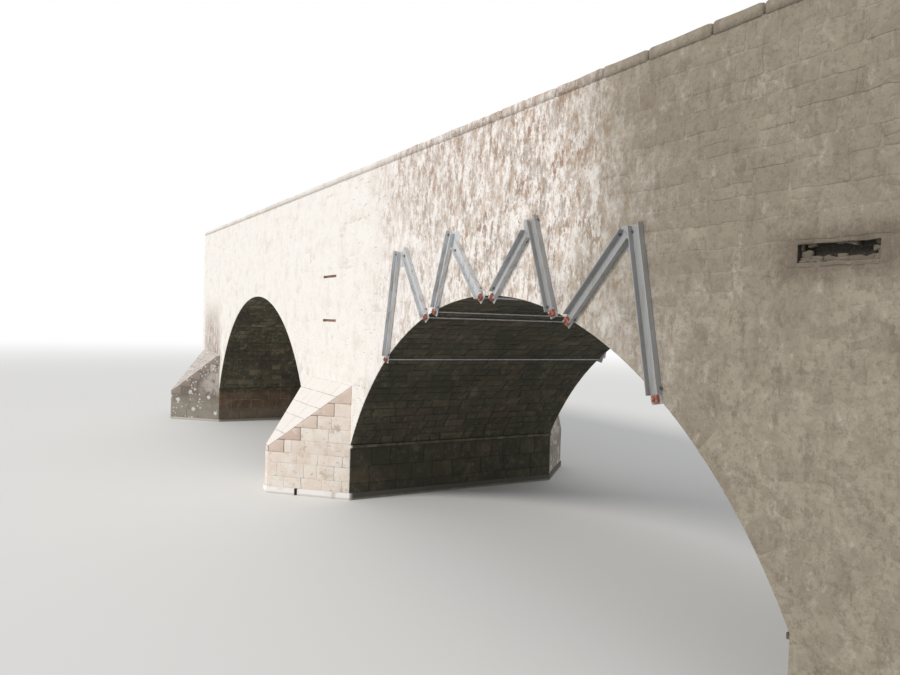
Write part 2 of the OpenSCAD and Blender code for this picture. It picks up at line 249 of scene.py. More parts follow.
class Stonework:
    """Separate stones gathered into one piece, each with its own tone."""

    # Rings of a stone, from its bed up: how far in, and at what share of its height
    PROFILE = ((0.0, -0.5), (0.005, 0.7), (0.016, 1.0))
    # How uneven a stone is: its tilt both ways for each metre, its lumps, and the rise of its middle
    TILT_U, TILT_V, LUMPS, MIDDLE = 0.8, 1.2, 0.14, (-0.05, 0.15)
    # Shares of the bond's values that are drawn for a stone, and where a thin one is parted
    WIDTH, FIRST_WIDTH, LAST_WIDTH = (0.55, 1.5), (0.5, 1.0), 0.35
    RELIEF, JOINT, PARTED = (0.55, 1.25), (0.5, 1.1), (0.35, 0.65)
    # Courses over this height may be laid as two; smaller stones than this area are left out
    TALL_COURSE, LEAST_AREA = 0.2, 0.003

    def __init__(self, name, seed):
        self.name = name
        self.rng = random.Random(seed)
        self.points, self.faces, self.marks = [], [], []

    def stone(self, outline, place, relief, rough, flip=False, profile=PROFILE, step=0.13, uneven=1.0):
        """One stone. place(u, v, h) carries its outline and height to the bridge."""
        rng = self.rng
        if area(outline) < 0:
            outline = outline[::-1]
        edge = weathered(outline, rng, rough, step)
        first, count = len(self.points), len(edge)
        tone, hue = rng.random(), rng.random()
        tilt_u = uneven * rng.uniform(-self.TILT_U, self.TILT_U)
        tilt_v = uneven * rng.uniform(-self.TILT_V, self.TILT_V)
        cu, cv = centre(edge)
        for k, (inset, height) in enumerate(profile):
            inner = k / (len(profile) - 1)
            for u, v in drawn_in(edge, inset) if inset else edge:
                h = relief * height
                if k:
                    lump = uneven * rng.uniform(-self.LUMPS, self.LUMPS)
                    h *= 1 + lump + (u - cu) * tilt_u + (v - cv) * tilt_v
                x, y, z = place(u, v, h)
                self.points.append((x, y, max(z, 0.0)))
                self.marks.append((tone, hue, inner, 1.0))
        self.points.append(place(cu, cv, relief * (1 + uneven * rng.uniform(*self.MIDDLE))))
        self.marks.append((tone, hue, 1.0, 1.0))
        middle = len(self.points) - 1
        rings = len(profile)
        faces = []
        for k in range(rings - 1):
            low, high = first + k * count, first + (k + 1) * count
            for i in range(count):
                j = (i + 1) % count
                faces.append((low + i, low + j, high + j, high + i))
        top = first + (rings - 1) * count
        faces += [(top + i, top + (i + 1) % count, middle) for i in range(count)]
        faces.append(tuple(first + i for i in reversed(range(count))))
        self.faces += [f[::-1] for f in faces] if flip else faces

    def lay(self, u_span, v_span, place, bond, keep=(), flip=False, beds=None, cover=None, hollows=()):
        """Lays courses of stones over a rectangle of the surface, cut back by keep."""
        rng = self.rng
        (u_low, u_high), (v_low, v_high) = u_span, v_span
        beds = beds or even_beds(rng, v_low, v_high, bond.course)
        phases = [(rng.uniform(0, 6), rng.uniform(0, 6)) for _ in beds]

        def bed(k, u):
            if k == 0 or k == len(beds) - 1:
                return beds[k]
            a, b = phases[k]
            return beds[k] + bond.wave * (math.sin(u * 1.3 + a) + 0.6 * math.sin(u * 3.1 + b))

        for k in range(len(beds) - 1):
            tall = beds[k + 1] - beds[k] > self.TALL_COURSE
            u, lean = u_low, 0.0
            u_stop = u_high - self.LAST_WIDTH * bond.length
            while u < u_high - 1e-6:
                width = bond.length * rng.uniform(*self.WIDTH)
                if u == u_low:
                    width *= rng.uniform(*self.FIRST_WIDTH)
                if u + width > u_stop:
                    width = u_high - u
                last = u + width >= u_high - 1e-6
                next_lean = 0.0 if last else rng.uniform(-bond.slant, bond.slant)
                a0, a1 = u - lean, u + lean
                b0, b1 = u + width - next_lean, u + width + next_lean
                quads = [[(a0, bed(k, a0)), (b0, bed(k, b0)), (b1, bed(k + 1, b1)), (a1, bed(k + 1, a1))]]
                if rng.random() < bond.split and tall:
                    quads = halved(quads[0], rng.uniform(*self.PARTED))
                for quad in quads:
                    self.trimmed(quad, place, bond, keep, flip, cover, hollows)
                u += width
                lean = next_lean

    def trimmed(self, quad, place, bond, keep, flip, cover, hollows):
        """Lays one stone where keep and the hollows leave room and no thick coat covers it."""
        rng = self.rng
        for rule in keep:
            quad = clip(quad, rule)
            if len(quad) < 3:
                return
        parts = [quad]
        for hollow in hollows:
            parts = [piece for part in parts for piece in around(part, hollow)]
        for part in parts:
            height = bond.relief * rng.uniform(*self.RELIEF)
            top = height * self.RELIEF[1]
            hidden = cover and all(cover(u, v) > top for u, v in part + [centre(part)])
            if abs(area(part)) > self.LEAST_AREA and not hidden:
                outline = drawn_in(part, bond.joint * rng.uniform(*self.JOINT))
                self.stone(outline, place, height, bond.rough, flip)

    def made(self, material, slot="wall_stone"):
        mesh = bpy.data.meshes.new(self.name)
        mesh.from_pydata(self.points, [], self.faces)
        mesh.validate()
        mark = mesh.color_attributes.new("stone", "FLOAT_COLOR", "POINT")
        mark.data.foreach_set("color", [c for m in self.marks for c in m])
        mesh.shade_smooth()
        return linked(self.name, mesh, material)


class Value:
    """A shader value. Sums and products of values add Math nodes."""

    def __init__(self, nodes, socket):
        self.nodes, self.socket = nodes, socket

    def math(self, operation, *values):
        return self.nodes.node("ShaderNodeMath", {"operation": operation}, dict(enumerate(values)))

    def __add__(self, other):
        return self.math("ADD", self, other)

    def __radd__(self, other):
        return self.math("ADD", other, self)

    def __sub__(self, other):
        return self.math("SUBTRACT", self, other)

    def __rsub__(self, other):
        return self.math("SUBTRACT", other, self)

    def __mul__(self, other):
        return self.math("MULTIPLY", self, other)

    def __rmul__(self, other):
        return self.math("MULTIPLY", other, self)

    def __abs__(self):
        return self.math("ABSOLUTE", self)

    def most(self, other):
        """The larger of two values."""
        return self.math("MAXIMUM", self, other)

    def between(self, low, high):
        """0 below low, 1 above high, and smooth between them."""
        settings = {"interpolation_type": "SMOOTHSTEP"}
        inputs = {"Value": self, "From Min": low, "From Max": high}
        return self.nodes.node("ShaderNodeMapRange", settings, inputs)

    def beyond(self, low, high):
        """1 below low, 0 above high."""
        return 1.0 - self.between(low, high)

    def inside(self, low, high, soft):
        """1 from low to high, fading over a soft edge on each side."""
        return self.between(low - soft, low) * self.beyond(high, high + soft)


class Nodes:
    """The shader nodes of a material or of the world."""

    def __init__(self, owner):
        owner.use_nodes = True
        self.tree = owner.node_tree
        self.tree.nodes.clear()

    def node(self, kind, settings, inputs, output=0):
        """A node of a type, with its settings first, then the values or links of its sockets."""
        made = self.tree.nodes.new(kind)
        for name, value in settings.items():
            if name == "stops":
                ramp = made.color_ramp
                while len(ramp.elements) < len(value):
                    ramp.elements.new(0.5)
                for element, (at, colour) in zip(ramp.elements, value):
                    element.position, element.color = at, (*colour, 1.0)
            else:
                setattr(made, name, value)
        for name, value in inputs.items():
            socket = made.inputs[name]
            if isinstance(value, Value):
                self.tree.links.new(value.socket, socket)
            elif socket.type == "RGBA":
                socket.default_value = (*value, 1.0)
            else:
                socket.default_value = value
        return Value(self, made.outputs[output]) if made.outputs else None

    def parts(self, kind, inputs):
        """All outputs of one node, in their order."""
        first = self.node(kind, {}, inputs)
        return [Value(self, output) for output in first.socket.node.outputs]

    def rays(self):
        """Two masks: what the camera sees, and what shiny surfaces see."""
        kinds = ("Is Camera Ray", "Is Glossy Ray")
        return [self.node("ShaderNodeLightPath", {}, {}, kind) for kind in kinds]


class Finish(Nodes):
    """A material. Its colour is set first, and tints are laid over it."""

    def __init__(self, name):
        self.material = bpy.data.materials.new(name)
        super().__init__(self.material)
        self.colour = None
        self.place = self.node("ShaderNodeTexCoord", {}, {}, "Object")
        self.x, self.y, self.z = self.parts("ShaderNodeSeparateXYZ", {"Vector": self.place})

    def noise(self, scale, detail=3.0, rough=0.55, stretch=None):
        place = self.place
        if stretch:
            place = self.node("ShaderNodeVectorMath", {"operation": "MULTIPLY"}, {0: place, 1: stretch})
        inputs = {"Vector": place, "Scale": scale, "Detail": detail, "Roughness": rough}
        return self.node("ShaderNodeTexNoise", {}, inputs)

    def marks(self, across, up, detail, rough, scale=1.0):
        """Noise that is finer or coarser across than up: short or long marks."""
        return self.noise(scale, detail, rough, (across, across, up))

    def cells(self, scale):
        """Distance from the nearest of many scattered points."""
        return self.node("ShaderNodeTexVoronoi", {"feature": "F1"}, {"Vector": self.place, "Scale": scale})

    def ramp(self, value, *stops):
        return self.node("ShaderNodeValToRGB", {"stops": stops}, {"Fac": value}, "Color")

    def mix(self, share, first, second):
        """Colour mixing: sockets 6 and 7 are the colours and output 2 the result."""
        return self.node("ShaderNodeMix", {"data_type": "RGBA"}, {0: share, 6: first, 7: second}, 2)

    def tint(self, share, colour):
        """Lays another colour over the finish, by a share from 0 to 1."""
        self.colour = self.mix(share, self.colour, colour)

    def stone_marks(self):
        """The tone, hue and edge share that each stone carries."""
        colour = self.node("ShaderNodeAttribute", {"attribute_name": "stone"}, {}, "Color")
        return self.parts("ShaderNodeSeparateColor", {"Color": colour})

    def bed_marks(self):
        """The same for the masonry behind the stones, from noise."""
        return self.noise(2.0), self.noise(3.2), 1.0

    def facing_up(self):
        normal = self.node("ShaderNodeNewGeometry", {}, {}, "Normal")
        return self.node("ShaderNodeSeparateXYZ", {}, {"Vector": normal}, "Z")

    def done(self, roughness, height, distance, strength, metallic=0.0):
        """The finished material, with a fine relief of this height map and depth."""
        inputs = {"Height": height, "Distance": distance, "Strength": strength}
        normal = self.node("ShaderNodeBump", {}, inputs, "Normal")
        inputs = {"Base Color": self.colour, "Roughness": roughness, "Metallic": metallic, "Normal": normal}
        return self.shown(self.node("ShaderNodeBsdfPrincipled", {}, inputs))

    def shown(self, shader):
        self.node("ShaderNodeOutputMaterial", {}, {"Surface": shader})
        return self.material


def stone_relief(small, grain):
    """Height map of stone: small patches with a grain on them."""
    return small * 0.6 + grain * 0.4


def wandering(place, drift, reach):
    """A place moved back and forth by noise, so that what it bounds gets a ragged edge."""
    return place + drift * reach - reach / 2


def face_colour(f, hue, tone=None):
    """Long faces by place: white by the pier, pink and marked by the struts, grey-brown beyond, partly damp
    and partly painted shade.

    The tone is given where each stone has its own."""
    broad, patch = f.noise(0.5, 4.0, 0.6), f.noise(2.2, 6.0, 0.7)
    small, grain = f.noise(9.0, 5.0, 0.7), f.noise(42.0, 3.0, 0.7)
    x = wandering(f.x, broad, 2.6)
    by_struts, worn, beyond_struts = x.between(2.0, 3.3), x.between(2.5, 7.5), x.between(7.8, 11.0)
    white = f.mix(patch.between(0.45, 0.75), (0.91, 0.88, 0.84), (0.80, 0.74, 0.67))
    pale = f.ramp(hue, (0.2, (0.79, 0.70, 0.64)), (0.5, (0.86, 0.80, 0.75)), (0.8, (0.77, 0.69, 0.62)))
    pink = f.ramp(hue, (0.2, (0.60, 0.48, 0.40)), (0.45, (0.70, 0.60, 0.52)),
                  (0.7, (0.58, 0.49, 0.41)), (0.9, (0.75, 0.68, 0.61)))
    brown = f.ramp(hue, (0.2, (0.25, 0.22, 0.165)), (0.45, (0.33, 0.295, 0.23)),
                   (0.7, (0.28, 0.25, 0.19)), (0.9, (0.37, 0.335, 0.265)))
    f.colour = f.mix(worn, f.mix(by_struts, white, pale), pink)
    if tone:
        f.tint(tone * 0.25, (0.45, 0.36, 0.29))
    marks_by_struts(f, broad, by_struts, worn)
    # Painted shade: the grey-brown beyond the struts is partly damp and partly painted shade.
    f.tint(beyond_struts, brown)
    if tone:
        f.tint(tone * beyond_struts * 0.4, (0.19, 0.155, 0.115))
    marks_beyond_struts(f, small, beyond_struts)
    f.tint(round_gap(f, small) * 0.8, (0.11, 0.09, 0.065))
    stain_over_cutwater(f, broad, small)
    lichen = f.cells(6.5).beyond(0.10, 0.22) * f.noise(1.1, 2.0).between(0.52, 0.62) * by_struts
    speck = f.cells(3.1).beyond(0.03, 0.055) * f.noise(0.9, 2.0).between(0.5, 0.6)
    dash = f.marks(5.0, 26.0, 3.0, 0.6).between(0.66, 0.71) * f.x.between(-0.4, 1.6) * f.x.beyond(4.0, 5.5)
    damp = (f.z + small * 0.3).beyond(0.2, 0.6)
    f.tint(lichen * (1.0 - beyond_struts) * 0.35, (0.74, 0.73, 0.66))
    f.tint(speck * 0.6, (0.34, 0.27, 0.22))
    f.tint(dash * 0.8, (0.42, 0.27, 0.19))
    f.tint(damp * 0.6, (0.15, 0.13, 0.095))
    f.tint(small.between(0.5, 0.75) * 0.22, (0.46, 0.38, 0.31))
    f.tint(grain.between(0.4, 0.72) * 0.14, (0.34, 0.28, 0.22))
    return stone_relief(small, grain)


def marks_by_struts(f, broad, by_struts, worn):
    """White where the rain washes, with short brown and grey marks, more of them towards the top."""
    wash, blotch = f.marks(7.0, 3.2, 7.0, 0.75), f.marks(9.0, 4.2, 7.0, 0.77)
    wet = f.noise(0.8, 2.0).between(0.25, 0.5) * by_struts * (worn * 0.6 + 0.4)
    high, top = wandering(f.z, broad, 1.4).between(3.9, 5.3), f.z.between(5.0, 6.6) * by_struts
    broken = f.marks(6.5, 4.6, 7.0, 0.77).between(0.50, 0.59)
    grey = f.marks(5.5, 2.6, 6.0, 0.75, 1.3).between(0.53, 0.61)
    f.tint(wash.between(0.43, 0.52) * by_struts * 0.9, (0.95, 0.92, 0.89))
    f.tint(blotch.between(0.52, 0.59) * wet * (high * 0.25 + 0.7), (0.31, 0.20, 0.14))
    f.tint(broken * wet * high * 0.6, (0.34, 0.265, 0.20))
    f.tint(grey * wet * 0.7, (0.39, 0.36, 0.325))
    f.tint(blotch.between(0.45, 0.56) * top * 0.5, (0.38, 0.25, 0.18))


def marks_beyond_struts(f, small, beyond_struts):
    """Broad painted shade, dark mottling and painted sunlit spots on the grey-brown wall."""
    painted_shade = f.marks(1.7, 0.9, 6.0, 0.72).between(0.46, 0.64)
    mottle = f.marks(5.5, 2.6, 7.0, 0.75).between(0.51, 0.64)
    painted_sunlit_spots = f.marks(4.0, 2.6, 6.0, 0.75).between(0.54, 0.68)
    fine = f.noise(20.0, 5.0, 0.75).between(0.50, 0.62)
    # Painted shade in broad patches.
    f.tint(painted_shade * beyond_struts * 0.6, (0.23, 0.195, 0.15))
    f.tint(mottle * beyond_struts * 0.7, (0.17, 0.135, 0.10))
    # Painted light: paler sunlit spots.
    f.tint(painted_sunlit_spots * beyond_struts * 0.5, (0.50, 0.45, 0.37))
    f.tint(small.between(0.46, 0.60) * beyond_struts * 0.45, (0.19, 0.155, 0.115))
    f.tint(fine * beyond_struts * 0.4, (0.13, 0.10, 0.075))


def round_gap(f, ragged):
    """1 close round the gap that a lost stone left by the right abutment."""
    low_x, high_x, low_z, high_z = GAP
    off_x = abs(f.x - (low_x + high_x) / 2) - (high_x - low_x) / 2
    off_z = abs(f.z - (low_z + high_z) / 2) - (high_z - low_z) / 2
    off = (off_x * 0.6).most(off_z)
    return (off + ragged * 0.5).beyond(0.25, 0.50) * f.y.beyond(-2.0, -1.0)


def stain_over_cutwater(f, broad, small):
    """The stained patch of the wall over the left cutwater, streaked and with yellow spots."""
    streak = f.marks(13.0, 2.3, 6.0, 0.72)
    rim = wandering(f.x, broad, 1.6).beyond(-11.7, -10.9) * wandering(f.z, streak, 3.0).beyond(3.2, 4.8)
    rim = rim * wandering(f.x, small, 0.6).between(-14.1, -13.5)
    yellow = f.cells(5.0).beyond(0.10, 0.20) * f.noise(2.1, 2.0).between(0.56, 0.62) * rim
    f.tint(rim * 0.65, (0.62, 0.555, 0.51))
    f.tint(rim * streak.between(0.46, 0.56) * 0.9, (0.30, 0.225, 0.18))
    f.tint(yellow * 0.8, (0.70, 0.60, 0.22))


def wall_stone():
    f = Finish("pale_rubble")
    tone, hue, inner = f.stone_marks()
    relief = face_colour(f, hue * 0.4 + f.noise(2.6, 5.0, 0.65) * 0.6, tone)
    # Painted shade: each stone darker along its edge, where it dips into the joint.
    f.tint((1.0 - inner) * 0.2, (0.42, 0.35, 0.28))
    return f.done(0.88, relief, 0.018, 0.85)


def lime_finish():
    f = Finish("worn_lime_coat")
    relief = face_colour(f, f.noise(2.6, 5.0, 0.65))
    return f.done(0.92, relief, 0.020, 0.8)


def bare_masonry():
    """Mortar and hearting where no coat is left: in joints, in the slots and in the gap, which is painted
    near black for the shade inside it.
    """
    f = Finish("bare_masonry")
    patch, grain = f.noise(3.0, 4.0, 0.6), f.noise(35.0, 3.0, 0.7)
    slot = f.x.inside(-0.8, 0.8, 0.4) * f.z.between(CAP_TOP_Z, 3.0)
    low_x, high_x, low_z, high_z = GAP
    gap_painted_shade = f.x.inside(low_x, high_x, 0.01) * f.z.inside(low_z, high_z, 0.01)
    gap_painted_shade = gap_painted_shade * f.y.between(0.002 - HALF_W, 0.01 - HALF_W) * f.y.beyond(-2.0, -1.9)
    f.colour = f.mix(patch, (0.20, 0.16, 0.125), (0.34, 0.28, 0.22))
    f.tint(slot * 0.9, (0.66, 0.46, 0.36))
    # Darker beyond x 9, with the grey-brown wall: partly damp and partly painted shade.
    f.tint(f.x.between(9.0, 11.0) * 0.8, (0.15, 0.125, 0.095))
    # Painted shade: near black inside the gap.
    f.tint(gap_painted_shade * 0.96, (0.02, 0.017, 0.013))
    f.tint(grain.between(0.4, 0.7) * 0.4, (0.12, 0.10, 0.08))
    return f.done(0.93, patch + grain, 0.010, 0.7)


def vault_stone(name, bed=False):
    """Stones under the arches, painted darker than their own colour for the shade there, redder at the left
    abutment; the bed behind them is darker.
    """
    f = Finish(name)
    tone, hue, inner = f.bed_marks() if bed else f.stone_marks()
    small, grain = f.noise(7.0, 5.0, 0.7), f.noise(40.0, 3.0, 0.7)
    by_left = f.x.beyond(-9.5, -8.0)
    pale = f.noise(2.4, 6.0, 0.72).between(0.56, 0.66)
    spot = f.cells(4.5).beyond(0.08, 0.16) * f.noise(1.3, 2.0).between(0.57, 0.63)
    # Painted shade: this whole range is darker than the stone itself, for the shade under the arches.
    f.colour = f.ramp(hue, (0.0, (0.050, 0.045, 0.028)), (0.4, (0.095, 0.084, 0.052)),
                      (0.7, (0.068, 0.062, 0.040)), (0.9, (0.125, 0.088, 0.054)),
                      (1.0, (0.165, 0.150, 0.098)))
    f.tint(f.z.beyond(SPRING_Z - 0.2, SPRING_Z) * by_left * 0.65, (0.20, 0.108, 0.065))
    f.tint(tone * 0.45, (0.048, 0.043, 0.028))
    f.tint(small.between(0.5, 0.64) * 0.6, (0.20, 0.18, 0.115))
    f.tint(f.noise(0.7, 4.0).between(0.48, 0.62) * 0.6, (0.03, 0.028, 0.018))
    f.tint(pale * 0.5, (0.26, 0.225, 0.145))
    f.tint(spot * 0.5, (0.36, 0.34, 0.29))
    f.tint(f.z.beyond(0.35, 0.6) * by_left * 0.4, (0.22, 0.20, 0.15))
    # Painted shade: deeper under the right arch.
    f.tint(f.x.between(-1.6, 0.0) * 0.5, (0.03, 0.028, 0.016))
    f.tint((f.z + small * 0.3).beyond(0.15, 0.35) * 0.6, (0.06, 0.055, 0.04))
    if bed:
        limed = f.x.beyond(-10.8, -10.4) * f.z.between(SPRING_Z, SPRING_Z + 0.1) * f.y.beyond(-1.6, 0.4)
        f.tint(0.65, (0.025, 0.022, 0.016))
        f.tint(limed * 0.35, (0.34, 0.32, 0.27))
    else:
        # Painted shade: each stone darker along its edge, where it dips into the joint.
        f.tint((1.0 - inner) * 0.4, (0.07, 0.06, 0.05))
    return f.done(0.88, stone_relief(small, grain), 0.014, 0.8)


def springing_stone():
    """The springing courses: painted dark inside the arches for the shade there, pale at their ends on the
    near face.
    """
    f = Finish("springing_stone")
    patch, grain = f.noise(4.0, 5.0, 0.65), f.noise(40.0, 3.0, 0.7)
    outside = abs(f.y).between(HALF_W - 0.06, HALF_W)
    pale = outside * f.x.between(-10.5, -10.0) * f.x.beyond(3.0, 4.0) * f.y.beyond(0.0, 1.0)
    # Painted shade: the dark base stands for the shade inside the arches.
    f.colour = f.mix(patch.between(0.4, 0.65), (0.07, 0.062, 0.045), (0.14, 0.125, 0.09))
    f.tint(pale, (0.84, 0.79, 0.72))
    return f.done(0.88, patch + grain, 0.008, 0.7)


def plinth_stone():
    """The low courses at the cutwaters' feet: washed white at the pier, browner at the left, and near black
    with painted shade inward of the near face and in the open joint.
    """
    f = Finish("washed_plinth")
    patch, grain = f.noise(3.5, 5.0, 0.7), f.noise(40.0, 3.0, 0.7)
    joint = f.marks(3.5, 0.2, 2.0, 0.5).between(0.66, 0.68)
    mid, half = sum(OPEN_JOINT) / len(OPEN_JOINT), (max(OPEN_JOINT) - min(OPEN_JOINT)) / 2
    open_joint_shade = abs(f.x - mid).beyond(half + 0.001, half + 0.002) * f.y.beyond(-3.0, -2.9)
    damp = (f.z + patch * 0.06).beyond(0.05, 0.09)
    f.colour = f.mix(patch.between(0.45, 0.7) * 0.5, (0.93, 0.91, 0.89), (0.70, 0.64, 0.57))
    f.tint(joint * 0.4, (0.42, 0.35, 0.29))
    # Painted shade: near black inward of the near face, under the arches and on the far side.
    f.tint(f.y.between(-HALF_W - 0.03, 0.1 - HALF_W) * 0.95, (0.05, 0.043, 0.03))
    f.tint(damp * 0.5, (0.40, 0.36, 0.29))
    # Painted shade: near black inside the open joint.
    f.tint(open_joint_shade, (0.02, 0.016, 0.012))
    f.tint(by_left_cutwater(f) * 0.65, (0.40, 0.36, 0.30))
    return f.done(0.84, patch + grain, 0.006, 0.7)


def by_left_cutwater(f):
    return f.x.beyond(-10.9, -10.0)


def aged_and_shaded_share(f):
    """1 on the left cutwater, which is browner and spotted with lichen, and on the far ones, which are
    painted brown for shade and spotted alike.
    """
    return by_left_cutwater(f).most(f.y.between(0.0, 1.0))


def lichen_spots(f):
    """Round pale lichens, 0.1 m wide and smaller, in loose groups."""
    ragged = f.noise(17.0, 4.0, 0.7) * 0.30 - 0.15
    large = (f.cells(3.4) + ragged).beyond(0.23, 0.29) * f.noise(1.4, 3.0).between(0.47, 0.52)
    small = (f.cells(8.0) + ragged).beyond(0.20, 0.27) * f.noise(1.9, 3.0).between(0.50, 0.56)
    return large.most(small)


def dressed_stone(name, bed=False):
    """Pale pink ashlar of the cutwaters, weathered white in patches; brown on the left one, and brown as
    painted shade on the far ones.
    """
    f = Finish(name)
    tone, hue, inner = f.bed_marks() if bed else f.stone_marks()
    small, grain = f.noise(5.0, 6.0, 0.72), f.noise(42.0, 3.0, 0.7)
    patch, aged_and_shaded = f.noise(3.0, 6.0, 0.72), aged_and_shaded_share(f)
    stain = f.noise(2.2, 6.0, 0.72).between(0.57, 0.66)
    pits = f.marks(5.0, 15.0, 5.0, 0.75).between(0.60, 0.67)
    by_wall = f.x.between(-11.8, -11.5) * f.z.between(0.8, 1.2)
    brown = f.mix(patch.between(0.4, 0.65), (0.115, 0.092, 0.075), (0.225, 0.188, 0.155))
    brown = f.mix(f.z.beyond(0.5, 1.0) * 0.5, brown, (0.32, 0.30, 0.24))
    brown = f.mix(by_wall * patch.between(0.40, 0.52) * 0.55, brown, (0.62, 0.58, 0.54))
    f.colour = f.ramp(hue, (0.0, (0.82, 0.72, 0.63)), (0.5, (0.88, 0.79, 0.70)),
                      (0.8, (0.80, 0.69, 0.60)), (1.0, (0.85, 0.73, 0.63)))
    f.tint(tone * 0.10, (0.54, 0.44, 0.36))
    f.tint(small.between(0.5, 0.66) * 0.4, (0.60, 0.47, 0.38))
    f.tint(f.noise(2.6, 6.0, 0.7).between(0.47, 0.60) * 0.6, (0.91, 0.87, 0.81))
    f.tint(stain * 0.6, (0.42, 0.37, 0.28))
    f.tint(pits * 0.7, (0.36, 0.22, 0.165))
    # Brown on the left cutwater; on the far ones this brown is painted shade.
    f.tint(aged_and_shaded * 0.9, brown)
    f.tint(lichen_spots(f) * aged_and_shaded * 0.8, (0.80, 0.79, 0.76))
    f.tint((f.z + small * 0.10).beyond(0.04, 0.10) * 0.55, (0.32, 0.28, 0.20))
    if bed:
        # Painted shade: near black in the open joint at the foot.
        open_joint = f.z.beyond(0.145, 0.155) * f.x.between(0.4, 0.5) * f.x.beyond(0.7, 0.8)
        low = f.z.beyond(0.75, 0.95) * 0.5 + 0.5
        seen = f.noise(1.3, 4.0, 0.65).between(0.44, 0.58) * low * 0.62 + open_joint
        f.tint(seen, (0.05, 0.04, 0.03))
    else:
        # Painted shade: each stone darker along its edge, where it dips into the joint.
        f.tint((1.0 - inner) * 0.2, (0.36, 0.26, 0.20))
    return f.done(0.84, stone_relief(small, grain), 0.012, 0.8)


def cap_stone(name, bed=False):
    """Sloping caps: pale where they face up, partly weathered white and partly painted light from above,
    over pink and red flanks; brown on the left one, and brown as painted shade on the far ones.
    """
    f = Finish(name)
    tone, hue, inner = f.bed_marks() if bed else f.stone_marks()
    small, grain = f.noise(6.0, 5.0, 0.7), f.noise(42.0, 3.0, 0.7)
    above, aged_and_shaded = f.facing_up().between(0.25, 0.5), aged_and_shaded_share(f)
    # Painted light: the brown of the left and far caps is paler where it faces up.
    brown = f.mix(above, (0.25, 0.21, 0.175), (0.54, 0.50, 0.47))
    brown = f.mix(small.between(0.45, 0.6) * 0.5, brown, (0.24, 0.20, 0.165))
    f.colour = f.ramp(hue, (0.0, (0.76, 0.62, 0.53)), (0.45, (0.82, 0.70, 0.60)),
                      (0.7, (0.64, 0.46, 0.38)), (1.0, (0.79, 0.65, 0.55)))
    f.tint(tone * 0.15, (0.50, 0.40, 0.33))
    f.tint(small.between(0.5, 0.66) * 0.4, (0.58, 0.46, 0.38))
    f.tint(f.noise(2.6, 6.0, 0.7).between(0.52, 0.64) * 0.5, (0.84, 0.79, 0.73))
    # Partly weathering and partly painted light: whiter where the cap faces up.
    f.tint(above * 0.92, (0.82, 0.79, 0.75))
    f.tint(aged_and_shaded * 0.9, brown)
    f.tint(lichen_spots(f) * aged_and_shaded * 0.8, (0.80, 0.79, 0.76))
    if bed:
        # Dark joints, less dark where they face up, which is painted light.
        f.tint(0.8 - above * 0.35, (0.12, 0.085, 0.065))
    else:
        # Painted shade: edges darker where they dip into the joints, except on faces turned up.
        f.tint((1.0 - inner) * (1.0 - above) * 0.5, (0.30, 0.21, 0.16))
    return f.done(0.85, stone_relief(small, grain), 0.012, 0.8)


def galvanised_steel(name, dull):
    """Zinc-coated steel, darker towards the right end, which is painted shade; the dull share darkens all
    of it.
    """
    f = Finish(name)
    cloud, streak = f.noise(3.0, 3.0), f.marks(6.0, 0.7, 3.0, 0.6, 2.0)
    f.colour = f.mix(cloud, (0.56, 0.575, 0.59), (0.74, 0.75, 0.765))
    f.tint(f.cells(34.0).between(0.1, 0.6) * 0.25, (0.44, 0.45, 0.46))
    # Painted shade: the struts towards the right end are darker.
    f.tint(f.x.between(6.0, 8.5) * 0.65, (0.20, 0.205, 0.20))
    f.tint(streak.between(0.50, 0.66) * 0.45, (0.27, 0.25, 0.22))
    f.tint(dull, (0.07, 0.07, 0.066))
    return f.done(0.5, f.noise(60.0, 2.0), 0.001, 0.4, metallic=0.15)


def rusty_iron():
    f = Finish("rusty_iron")
    f.colour = f.ramp(f.noise(16.0, 4.0, 0.65), (0.3, (0.14, 0.05, 0.035)), (0.5, (0.34, 0.115, 0.075)),
                      (0.65, (0.48, 0.21, 0.145)), (0.8, (0.46, 0.30, 0.24)))
    return f.done(0.9, f.noise(90.0, 3.0), 0.003, 0.7)


def road_surface():
    """Worn road: paler wheel tracks, darker mends and dirt along its edges."""
    f = Finish("worn_road")
    grit, cloud = f.noise(55.0, 3.0, 0.7), f.noise(0.7, 3.0)
    out = abs(f.y)
    edge, wheels = out.between(ROAD[1].y - 0.5, ROAD[1].y), wandering(out, cloud, 0.4)
    track = wheels.between(0.35, 0.65) * wheels.beyond(0.9, 1.25)
    mend = f.noise(0.5, 4.0, 0.6).between(0.57, 0.60)
    f.colour = f.mix(cloud, (0.20, 0.20, 0.20), (0.32, 0.31, 0.30))
    f.tint(track * 0.5, (0.42, 0.41, 0.39))
    f.tint(mend * 0.45, (0.12, 0.12, 0.12))
    f.tint(grit.between(0.4, 0.7) * 0.5, (0.44, 0.42, 0.40))
    f.tint(edge * 0.6, (0.36, 0.31, 0.24))
    return f.done(0.9, grit, 0.006, 0.7)


WALL_STONE, LIME, BARE = wall_stone(), lime_finish(), bare_masonry()
VAULT_STONE, VAULT_BED = vault_stone("vault_stone"), vault_stone("vault_mortar", True)
ASHLAR, ASHLAR_BED = dressed_stone("dressed_stone"), dressed_stone("dressed_bed", True)
CAP_STONE, CAP_BED = cap_stone("cap_stone"), cap_stone("cap_bed", True)
STEEL, DULL_STEEL = galvanised_steel("galvanised_steel", 0.0), galvanised_steel("weathered_bolts", 0.75)
RUST, ROADWAY = rusty_iron(), road_surface()
SPRINGING, PLINTH = springing_stone(), plinth_stone()


def dress(material, *names):
    """Gives CAD nodes a finish."""
    for name in names:
        node = NODES[name]
        node.data.materials.clear()
        node.data.materials.append(material)


def both(*names):
    return [f"{name}_{side}" for name in names for side in ("near", "far")]


